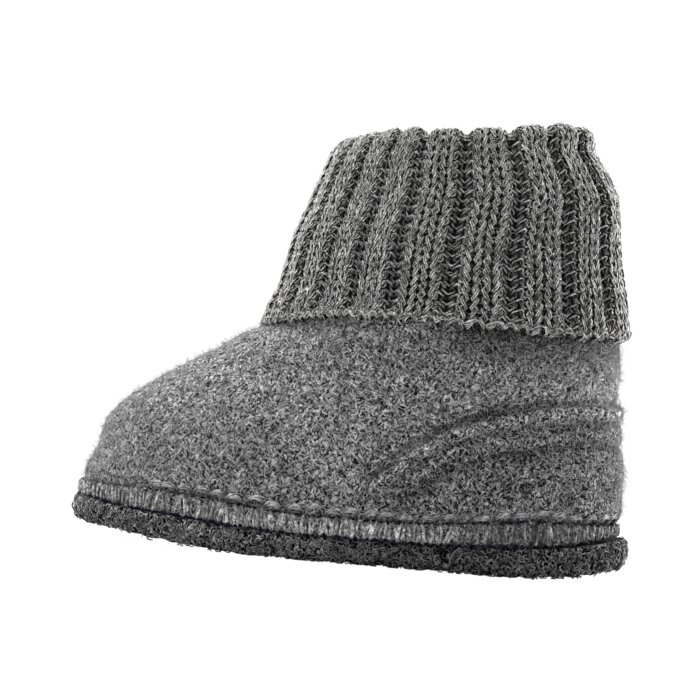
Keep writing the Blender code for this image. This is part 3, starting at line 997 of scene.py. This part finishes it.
# stitched band: a strip wrapped in short upright stitches, a row of loops above it and navy thread
band = {
    "columns": 520,
    "level": 12.0,  # height of the ring along which its columns and stitches lie evenly
    "fine": 720,  # places at which that ring is measured for them
    "sides": 5,  # of a strand
    # the strip's section: how far out, and part of its height
    "out": (-form["band"], -0.5, -0.15, -0.1, -0.15, -0.5, -form["band"]),
    "part": (0.0, 0.0, 0.12, 0.5, 0.88, 1.0, 1.0),
    "stitches": 164,
    "stitchOff": 0.12,  # how unevenly they stand, parts of their spacing
    "strand": 0.48,  # radius of each of a stitch's two strands
    "apart": 0.60,  # half the distance between them at mid height
    "lean": 0.8,  # how far a stitch may lean
    "bulge": (0.12, 0.34, 0.12),  # how far out it lies at its ends, more in the middle, unevenness
    "reach": (-0.04, 1.08, 9),  # parts of the height at which it starts and ends, and its points
    "ends": 0.55,  # painted shade on the stitches where they dive in
    "uneven": 0.40,  # how much darker one stitch may be than another
    "heelwardShade": (0.62, 0.80, 0.42),  # along the foot, from where to where painted shade darkens them, and how much
    "toewardShade": (0.20, 0.42, 0.22),  # and painted shade likewise around the toe
    "loops": 68,
    "loopOff": 0.10,
    "loopSteps": 12,
    "loopRadius": 0.50,
    "loopSize": (2.25, 2.3),  # half length and height
    "loopUneven": 0.12,  # how unevenly they lean, stand and swell
    "loopPair": (0.0, 0.62),  # how much lower each of an arch's two strands lies
    "loopOut": (0.5, 1.5, 1.8),  # how far in its feet lie, how far out its top, how far it hides
    "threadSteps": 600,
    # part of height, out, radius, ripples, sink
    "threads": ((0.02, 0.14, 0.40, 89, 0.0), (1.04, -0.02, 0.24, 68, 1.4)),
    "ripple": (0.12, 0.25),  # how far out a thread ripples, and up for that
    "threadDips": (9.0, 0.75),  # size of the stretches where the felt covers the thread, and how deep
    "wool": (0.08, 1.1, 0.72),  # parts of the height between which loose wool lies, and how far out
    "hiddenTo": (0.22, 0.44),  # along the foot, from where on the loops and upper thread show
}


def bandFrame(turn, part, out):  # a place on the band's face, part 0 at the sole and 1 at the top
    base = soleTop(turn) + form["gap"]
    height = base + (bandTop(turn) - form["gap"] - base) * part
    return footPoint(turn, height, -out + 0 * turn)


def outwardAt(turn):  # level direction away from the foot, by the cross product of its outline with up
    step = 1e-3
    ahead = footPoint(turn + step, 0.0, 0.0) - footPoint(turn - step, 0.0, 0.0)
    return unit(np.stack((ahead[..., 1], -ahead[..., 0], 0 * ahead[..., 0]), axis=-1))


def makeBandStrip():
    turn = evenTurns(upperRows, band["level"], band["columns"])
    rings = [bandFrame(turn, part, out) for out, part in zip(band["out"], band["part"])]
    makePiece("bandStrip", closedGrid(np.stack(rings)), "upper", "seam_band")


def bandPlaces(random, count, off):  # turns of even places, each a little off, and the length of a turn
    place = (np.arange(count) + off * random.standard_normal(count)) % count
    fine = band["fine"]
    even = np.append(evenTurns(upperRows, band["level"], fine), fullTurn)
    middle = np.interp(place, np.arange(fine + 1) / fine * count, even)[:, None]
    step = 0.1
    ends = footPoint(middle + step, 0.0, 0.0) - footPoint(middle - step, 0.0, 0.0)
    return middle, np.linalg.norm(ends, axis=-1) / (2 * step)


def makeBandStitches():
    # pairs of strands, bowed apart by a sine to the power 0.6 and out by a sine over their height
    random = np.random.default_rng(5)
    count = band["stitches"]

    def spread(reach):
        return reach * random.standard_normal((count, 1))

    middle, reach = bandPlaces(random, count, band["stitchOff"])
    along = alongOf(middle)
    part = np.linspace(*band["reach"])[None, :]
    bowed = np.sin(np.clip(part, 0, 1) * math.pi)
    tapered = 1 - 0.3 * np.abs(2 * part - 1)**4
    low, high, dark = band["heelwardShade"]
    paintedStitchShade = band["ends"] * np.where(part < 0.5, 1.0, 0.35) * np.abs(2 * part - 1.04)**4
    paintedStitchShade = paintedStitchShade + dark * ease(low, high, along)
    low, high, dark = band["toewardShade"]
    paintedStitchShade = paintedStitchShade + dark * (1 - ease(low, high, along))
    lean = spread(band["lean"])
    atEnds, more, uneven = band["bulge"]
    made = []
    hollow = []
    for side in (-1, 1):
        bow = band["apart"] * (1 + spread(0.35))
        turn = middle + (side * bow * bowed**0.6 + lean * (part - 0.5)) / reach
        paths = bandFrame(turn, part + 0 * turn, atEnds + more * bowed + spread(uneven))
        radii = band["strand"] * (1 + spread(0.18)) * tapered
        start = 40.0 * random.random((count, 1))
        made.append(tubes(paths, radii, outwardAt(turn), band["sides"], False, start))
        # painted shade, plus each stitch's own random tone
        deep = band["uneven"] * random.random((count, 1)) + paintedStitchShade
        hollow.append(deep[..., None].repeat(band["sides"], axis=-1))
    makePiece("bandStitches", joined(*made), "band", "seam_band", hollow=np.stack(hollow))


def makeBandLoops():
    # arches over the band's upper edge: half an oval from foot to foot, its feet in the seam,
    # two strands one above the other
    random = np.random.default_rng(6)
    count, steps = band["loops"], band["loopSteps"]
    middle, reach = bandPlaces(random, count, band["loopOff"])
    angle = math.pi * np.linspace(-0.12, 1.12, steps)[None, :]
    long, tall = band["loopSize"]
    uneven = band["loopUneven"]
    lean = uneven + uneven * random.standard_normal((count, 1))
    turn = middle + long / reach * (np.cos(angle) + lean * np.sin(angle))
    taller = 1 + uneven * random.standard_normal((count, 1))
    shown = ease(band["hiddenTo"][0] - 0.16, band["hiddenTo"][0], alongOf(middle))
    feet, top, hides = band["loopOut"]
    out = top * np.clip(np.sin(angle), -1, 1) - feet - hides * (1 - shown)
    thicker = 1 + uneven * random.standard_normal((count, 1))
    radii = band["loopRadius"] * (1 - 0.25 * np.abs(np.cos(angle))) * thicker
    made = []
    hollow = []
    for lower in band["loopPair"]:
        rise = (tall * taller - lower) * np.sin(angle)
        paths = formPoint(upperRows, turn, bandTop(turn) + 0.35 + rise, -out - 0.1 * lower)
        start = 40.0 * random.random((count, 1))
        made.append(tubes(paths, radii, outwardAt(turn), band["sides"], False, start))
        # painted shade at the arches' feet and on the lower strand
        deep = 0.7 * np.cos(angle)**2 + 0.3 * lower
        hollow.append(np.broadcast_to(deep[..., None], (count, steps, band["sides"])))
    makePiece("bandLoops", joined(*made), "loop", "seam_band", hollow=np.stack(hollow))


def makeThreads():
    steps = band["threadSteps"]
    turn = evenTurns(upperRows, band["level"], steps)
    wave = np.arange(steps) / steps * fullTurn
    shown = ease(*band["hiddenTo"], alongOf(turn))
    size, deep = band["threadDips"]
    far, up = band["ripple"]
    made = []
    for part, out, radius, ripples, sink in band["threads"]:
        ripple = far * np.sin(ripples * wave)
        covered = deep * ease(0.0, 0.5, softNoise(bandFrame(turn, part, 0.0), size, 41))
        path = bandFrame(turn, part + ripple * up, out + ripple - sink * (1 - shown) - covered)
        made.append(tubes(path[None], radius, outwardAt(turn)[None], band["sides"], True))
    makePiece("navyThreads", joined(*made), "thread", "seam_band")


makeBandStrip()
makeBandStitches()
makeBandLoops()
makeThreads()


# knitted cuff: rib knitting, two knit and two purl columns, one yarn course above another
cuff = {
    "ribs": 20,
    # degrees of turn at the channels, front to back
    "channels": (0.0, 13.8, 27.5, 42.5, 56.5, 71.0, 90.5, 112.5, 134.5, 156.5, 180.0),
    "widths": (0.19, 0.31, 0.31, 0.19),  # purl, knit, knit, purl columns, parts of a rib
    "courses": (19, 4, 14),  # outside, over the fold and inside
    "lower": 10,  # how many of the outside courses are the lower piece
    "steps": (12, 6),  # points of a stitch, outside and inside
    "fold": form["knit"] + 0.5,  # radius of the fold over the top
    "under": (1, 1.2),  # courses turned under at the hem, and the radius they turn with
    "loopTall": 1.85,  # height of a stitch in courses
    "sway": 0.25,  # how far a stitch's legs cross
    "sag": (0.45, 0.17),  # how many courses a row hangs down in a channel, and its reach in ribs
    "pressed": 0.85,  # part of a purl column's width that its inner half takes, the rest is wall
    "depth": 0.55,  # half the depth of a stitch
    "turnOver": 0.14,  # part of a stitch in which the yarn goes from front to back
    "valley": 2.6,  # depth of the purl channels
    "walls": (0.10, 0.22),  # parts of a rib from its channel's middle, where a wall begins and ends
    "crown": (2.4, 3.6),  # depth over the fold, and how much narrower than a cosine
    "shallow": 0.82,  # depth of the channels at the front against those at the side
    "behind": (3.6, 2.8, 1.3),  # how deep the sheet of painted shade lies behind the channels, over the fold, inside
    "shadeSheetSteps": (12, 14, 9, 8),  # points of a rib, and rows up, over and down
    "hugs": (1.5, 3.0, 0.30),  # how far the hem draws in at the front, over how many courses, to where
    "strand": (0.31, 0.30),  # radius of one of two strands, and its distance from the yarn's middle
    "insideYarn": 0.6,  # radius of the single strand inside
    "middle": 0.8,  # middle of the yarn inside the cuff's outer face
    "hollows": (0.55, 0.6, 0.25),  # painted shade in a channel and on the yarn that lies back, and from where
    "wander": ((14.0, 0.45), (2.6, 0.32)),  # size and reach of the uneven hand of the knitting
    "wool": (90.0, 0.7),  # height of the ring along which loose wool lies evenly, and how far out
    "hemSteps": 8,
    "hemStrand": (0.36, 0.24, 0.35),  # radius of a hem strand, half its zigzag in courses, and out
}


def cuffLevels(turn):  # heights of the hem and of the shoulder, where the fold over the top begins
    along = alongOf(turn)
    shoulder = read(cuffEdges, "top", along) - form["lean"] * (1 - np.sin(turn)) / 2 - cuff["fold"]
    return read(cuffEdges, "hem", along), shoulder


def cuffPlace(turn, course, out):
    # the fabric's face at a course: up the outside, over a half circle, down the inside;
    # out moves away from the fabric on its good side
    outside, over, inside = cuff["courses"]
    hem, shoulder = cuffLevels(turn)
    seat = form["collar"] + form["gap"]
    up = np.clip(course / outside, 0, 1)
    angle = np.clip((course - outside) / over, 0, 1) * math.pi
    down = np.clip((course - outside - over) / inside, 0, 1)
    arc = cuff["fold"] - cuff["middle"] + out
    rows, bend = cuff["under"]
    turned = np.clip(-course / rows, 0, 1) * math.pi
    bend = bend + np.clip(out, -0.4, 0.4)
    height = hem + (shoulder - hem) * up + arc * np.sin(angle)
    height = height - (shoulder - seat) * down - bend * np.sin(turned)
    inset = cuff["fold"] - arc * np.cos(angle) + bend * (1 - np.cos(turned))
    drawn, rise, reach = cuff["hugs"]
    inset = inset + drawn * (1 - ease(-0.5, rise, course)) * (1 - ease(0.02, reach, alongOf(turn)))
    point = formPoint(cuffRows, turn, np.minimum(height, cuffRows["height"][-1]), inset)
    point[..., 2] = height
    return point


def ribTurn(rib):  # turn of a rib's place: a curve through the channels, mirrored on the inner side
    ribs = cuff["ribs"]
    whole = np.floor(rib / ribs)
    part = rib - whole * ribs
    channels = cuff["channels"]
    at = np.minimum(part, ribs - part)
    turn = np.radians(curveThrough(np.arange(len(channels)), channels, at))
    return np.where(part > ribs / 2, fullTurn - turn, turn) + fullTurn * whole


def ribAt(turn):
    fine = np.linspace(0, cuff["ribs"], fineSteps + 1)
    return np.interp(turn, np.append(ribTurn(fine[:-1]), fullTurn), fine)


def channelAt(rib, turn, course):
    # how hollow a place is, from a flat floor and steep walls to a cosine over the fold, and how
    # deep a whole hollow lies
    outside, over = cuff["courses"][:2]
    crown = ease(outside - 2, outside + over / 2, course)
    deepest, narrow = cuff["crown"]
    away = np.abs(rib - np.round(rib))
    walled = 1 - ease(*cuff["walls"], away)
    rounded = ((1 + np.cos(fullTurn * rib)) / 2)**narrow
    channel = walled + (rounded - walled) * crown
    channel = channel * (cuff["shallow"] + (1 - cuff["shallow"]) * ease(0.05, 0.45, alongOf(turn)))
    fades = 1 - 0.6 * ease(outside + over / 2, outside + over, course)
    channel = channel * ease(-0.5, 2.5, course) * fades
    return channel, cuff["valley"] + (deepest - cuff["valley"]) * crown


def stitchesOf(steps):  # for each point its column and part of a stitch, and the column's start and width
    at = np.arange(4 * cuff["ribs"] * steps) / steps
    stitch = np.floor(at).astype(int)
    column = stitch % 4
    starts = np.concatenate(([0.0], np.cumsum(cuff["widths"])))[column] + stitch // 4
    return column, at - stitch, starts, np.array(cuff["widths"])[column]


def knitCourses(courses, steps):
    # for stitch part t: across = t + sway sin 4 pi t, up = tall (1 - cos 2 pi t) / 2 and
    # out = -depth cos 4 pi t, turned inside out on purl columns, whose outer halves are pressed
    # into the channel's walls
    column, part, starts, width = stitchesOf(steps)
    across = part + cuff["sway"] * np.sin(2 * fullTurn * part)
    squeeze = ((0.0, 0.5, 1.0), (0.0, cuff["pressed"], 1.0))
    across = np.where(column == 0, np.interp(across, *squeeze), across)
    across = np.where(column == 3, 1 - np.interp(1 - across, *squeeze), across)
    rib = starts + width * across
    side = np.where((column == 1) | (column == 2), 1.0, -1.0)
    edge = np.where(column % 2 == 1, part, 1 - part)
    side = side * np.clip(edge / cuff["turnOver"], 0, 1)
    course = courses[:, None] + cuff["loopTall"] / 2 * (1 - np.cos(fullTurn * part))
    turn = ribTurn(rib)[None] + 0 * course
    channel, deep = channelAt(rib, turn, course)
    sag, reach = cuff["sag"]
    hangs = np.clip(course, 0, 1) * (course < cuff["courses"][0])
    course = course - sag * swell(0.0, reach, rib - np.round(rib)) * hangs
    loop = -side * np.cos(2 * fullTurn * part)
    out = loop * cuff["depth"] - deep * channel
    # painted shade in the channels and on the yarn where it lies back
    inChannel, behind, level = cuff["hollows"]
    hollow = np.clip(inChannel * channel + behind * (level - loop), 0, 1)
    path = cuffPlace(turn, course, out)
    outward = unit(cuffPlace(turn, course, out + 0.05) - path)
    for number, (size, reach) in enumerate(cuff["wander"]):
        path = path + reach * noiseVectors(path, size, 81 + 3 * number)
    return path, outward, part, hollow


def twoStrands(path, outward, part, hollow, sides, seed):
    # two strands on either side of the yarn's middle, turning around it once a stitch
    up, across = squareTo(aheadOf(path), outward)
    angle = (fullTurn * part + 0 * path[..., 0])[..., None]
    radius, apart = cuff["strand"]
    away = apart * (np.cos(angle) * up + np.sin(angle) * across)
    random = np.random.default_rng(seed)
    made = []
    for side in (-1, 1):
        thick = radius * (1 + 0.16 * softNoise(path + 9 * side, 2.4, seed))
        start = 300.0 * random.random((len(path), 1))
        made.append(tubes(path + side * away, thick, outward, sides, True, start))
    deep = np.broadcast_to(hollow[..., None], (*hollow.shape, sides)).ravel()
    return joined(*made), np.tile(deep, 2)


def makeCuff():
    outside, over, inside = cuff["courses"]
    fine, coarse = cuff["steps"]
    lower = cuff["lower"]
    ranges = (("cuffLower", -cuff["under"][0], lower), ("cuffUpper", lower, outside + over))
    for name, low, high in ranges:
        made, hollow = twoStrands(*knitCourses(np.arange(low, high) + 0.0, fine), 4, 90 + low)
        makePiece(name, made, "cuff", "cuff", hollow=hollow)
    courses = np.arange(outside + over, outside + over + inside) + 0.0
    path, outward, part, hollow = knitCourses(courses, coarse)
    radii = cuff["insideYarn"] * (1 + 0.12 * softNoise(path, 2.4, 97))
    start = 300.0 * np.random.default_rng(98).random((len(path), 1))
    made = tubes(path, radii, outward, 3, True, start)
    makePiece("cuffInside", made, "cuff", "cuff", hollow=hollow.repeat(3))


def makeShadeSheet():
    # a dark sheet of painted shade between the cuff's two layers, standing in for the shade there: up
    # behind the outer yarn, over and down again, closed below, just above the felt's collar
    outside, over, inside = cuff["courses"]
    steps, *rows = cuff["shadeSheetSteps"]
    rib = np.arange(steps * cuff["ribs"]) / steps
    turn = ribTurn(rib)
    hem, shoulder = cuffLevels(turn)
    low = outside * (form["collar"] + 2 * form["gap"] - hem) / (shoulder - hem)
    up, arc, down = (np.linspace(0, 1, count)[:, None] for count in rows)
    up = low + (outside - low) * up
    arc = outside + over * arc[1:] + 0 * turn
    down = outside + over + (inside - 0.3) * down[1:] + 0 * turn
    course = np.concatenate((up, arc, down))
    channel, deep = channelAt(rib, turn, course)
    deepest, atFold, within = cuff["behind"]
    most = deepest + (atFold - deepest) * ease(outside - 2, outside, course)
    out = -np.minimum(deep * channel + cuff["depth"] + 0.45, most)
    out = np.where(course > outside + over / 2, np.maximum(out, -within), out)
    grid = cuffPlace(turn + 0 * course, course, out)
    makePiece("cuffShadeSheet", closedGrid(grid), "shadeSheet", "cuff")


def makeHemEdge():  # strands that zigzag along the cuff's lower edge, one point down for each stitch
    column, part, starts, width = stitchesOf(cuff["hemSteps"])
    turn = ribTurn(starts + width * part)
    radius, zigzag, far = cuff["hemStrand"]
    made = []
    for side in (0, 1):
        wave = np.cos(fullTurn * (part + 0.18 * side))
        out = 0.25 + far * np.sin(fullTurn * part) * (1 - 2 * side) + far * side
        path = cuffPlace(turn, 0.05 + zigzag * wave + 0.08 * side, out)
        path = path + 0.35 * noiseVectors(path, 2.6, 120)
        made.append(tubes(path[None], radius, outwardAt(turn)[None], 4, True, 17.0 + side))
    makePiece("cuffHem", joined(*made), "cuff", "cuff")


makeCuff()
makeShadeSheet()
makeHemEdge()
print("cuff knitted")


# curls of the sole's felt and loose wool over everything: half a hair's length, the least angle it
# curls through and how much more it may, how far it rises and flies off, the part that flies, how
# far out the hairs lie, their radius, how much their ends taper, and their points
wools = {
    "soleCurl": (1.3, 1.0, 1.4, 0.42, 0.2, 0.1, -0.02, 0.21, 0.4, 6),
    "fuzz": (0.9, 0.3, 0.9, 0.1, 3.3, 1.0, -0.05, 0.062, 0.3, 2),  # softens the outline
    "feltHair": (1.2, 0.2, 1.2, 0.14, 1.7, 0.5, -0.02, 0.09, 0.6, 4),
    "bandHair": (0.8, 0.7, 1.3, 0.22, 0.7, 0.3, 0.0, 0.13, 0.5, 4),
    "cuffHair": (1.2, 0.2, 1.1, 0.25, 1.2, 0.35, -0.35, 0.08, 0.55, 4),
}
amounts = {"sole": 2100, "upper": 3000, "counter": 750, "band": 800, "cuff": 2400}
fuzzes = {"upper": 17200, "counter": 4000}


def makeWool():
    made = scatterWool(soleGrid, amounts["sole"], 61, "soleCurl")
    # the same painted shade toward the heel on the curls
    makePiece("soleCurls", made, "curl", "sole", hollow=0.3 * heelShade(made[0]))
    felts = (("upper", upperGrid, 62, "upper"), ("counter", counterGrid, 63, "heel_counter"))
    for name, grid, seed, node in felts:
        hairs = scatterWool(grid, amounts[name], seed, "feltHair")
        fuzz = scatterWool(grid, fuzzes[name], seed + 10, "fuzz")
        makePiece(name + "Hairs", joined(hairs, fuzz), "fibre", node)
    low, high, out = band["wool"]
    part = np.linspace(low, high, 8)[:, None]
    face = bandFrame(evenTurns(upperRows, band["level"], 240) + 0 * part, part, out)
    makePiece("bandHairs", scatterWool(face, amounts["band"], 65, "bandHair"), "band", "seam_band")
    level, out = cuff["wool"]
    turn = evenTurns(cuffRows, level, 180)
    course = np.linspace(0, sum(cuff["courses"][:2]), 40)[:, None]
    channel, deep = channelAt(ribAt(turn), turn, course)
    face = cuffPlace(turn + 0 * course, course, out - deep * channel)
    makePiece("cuffHairs", scatterWool(face, amounts["cuff"], 64, "cuffHair"), "fibre", "cuff")


makeWool()


# floor, lights and camera
stage = {
    "floor": 6.0,
    "floorGrey": (0.55, 0.03),  # as it lights the slipper, and as seen
    "glow": (0.05, 0.93),  # the floor's own light on the slipper, and more of it as seen
    "sky": (0.045, 0.36, 1.02),  # light from the camera's side, from behind, and as seen
}


def makeFloor():
    mesh = bpy.data.meshes.new("floor")
    reach = stage["floor"]
    corners = [(-reach, -reach, 0), (reach, -reach, 0), (reach, reach, 0), (-reach, reach, 0)]
    mesh.from_pydata(corners, [], [(0, 1, 2, 3)])
    floor = bpy.data.objects.new("floor", mesh)
    bpy.context.scene.collection.objects.link(floor)
    material = bpy.data.materials.new("paleFloor")
    material.use_nodes = True
    shader = material.node_tree.nodes["Principled BSDF"].inputs
    shader["Roughness"].default_value = 0.9
    feed(shader["Emission Color"], 1.0)
    seen = addNode(material.node_tree, "LightPath").outputs["Is Camera Ray"]
    feed(shader["Base Color"], mixOf(seen, *stage["floorGrey"]))
    lit, more = stage["glow"]
    feed(shader["Emission Strength"], mathOf("MULTIPLY_ADD", seen, more, lit))
    mesh.materials.append(material)


def makeSky():
    world = bpy.data.worlds.new("whiteStudio")
    bpy.context.scene.world = world
    world.use_nodes = True
    tree = world.node_tree
    background = tree.nodes["Background"].inputs
    feed(background["Color"], 1.0)
    front, behind, shown = stage["sky"]
    place = addNode(tree, "TexCoord").outputs["Generated"]
    lit = rangeOf(addNode(tree, "SeparateXYZ", {0: place}).outputs[1], -0.6, 0.5, (front, behind))
    seen = addNode(tree, "LightPath").outputs["Is Camera Ray"]
    feed(background["Strength"], mathOf("MAXIMUM", lit, times(seen, shown)))


softboxes = {  # place in metres, size, power in watts
    "leftSoftbox": ((-1.15, 0.62, 0.40), 1.0, 17.0),
    "rightSoftbox": ((1.15, 0.65, 0.40), 1.0, 37.0),
    "topSoftbox": ((-0.35, -0.10, 1.35), 1.1, 24.0),
    "frontFill": ((0.1, -1.5, 0.8), 1.0, 7.0),
}


def makeLights():
    for name, (place, size, power) in softboxes.items():
        lamp = bpy.data.lights.new(name, "AREA")
        lamp.size = size
        lamp.energy = power
        light = bpy.data.objects.new(name, lamp)
        light.location = place
        aim = Vector(camera["target"]) - Vector(place)
        light.rotation_euler = aim.to_track_quat("-Z", "Y").to_euler()
        light.visible_camera = False
        bpy.context.scene.collection.objects.link(light)


camera = {
    "target": (0.0, 0.0, 0.060),
    "distance": 1.600,
    "yaw": 4.257,
    "elevation": 2.497,
    "roll": 5.144,
    "lens": 302.9,
    "aside": (-0.00430, -0.00364),  # where it aims from the target, to its right and up
}


def makeCamera():
    # forward from yaw and elevation; right and up turned by the roll
    yaw, elevation, roll = (math.radians(camera[key]) for key in ("yaw", "elevation", "roll"))
    level = math.cos(elevation)
    forward = Vector((-math.sin(yaw) * level, math.cos(yaw) * level, -math.sin(elevation)))
    right = forward.cross(Vector((0, 0, 1))).normalized()
    up = right.cross(forward)
    turnedRight = math.cos(roll) * right + math.sin(roll) * up
    turnedUp = math.cos(roll) * up - math.sin(roll) * right
    across, above = camera["aside"]
    target = Vector(camera["target"]) + across * turnedRight + above * turnedUp
    data = bpy.data.cameras.new("camera")
    data.lens = camera["lens"]
    data.clip_end = 50.0
    made = bpy.data.objects.new("camera", data)
    bpy.context.scene.collection.objects.link(made)
    turned = Matrix((turnedRight, turnedUp, -forward)).transposed()
    made.matrix_world = Matrix.Translation(target - camera["distance"] * forward) @ turned.to_4x4()
    bpy.context.scene.camera = made


makeFloor()
makeSky()
makeLights()
makeCamera()
bpy.context.scene.view_settings.view_transform = "Standard"

print("scene finished")
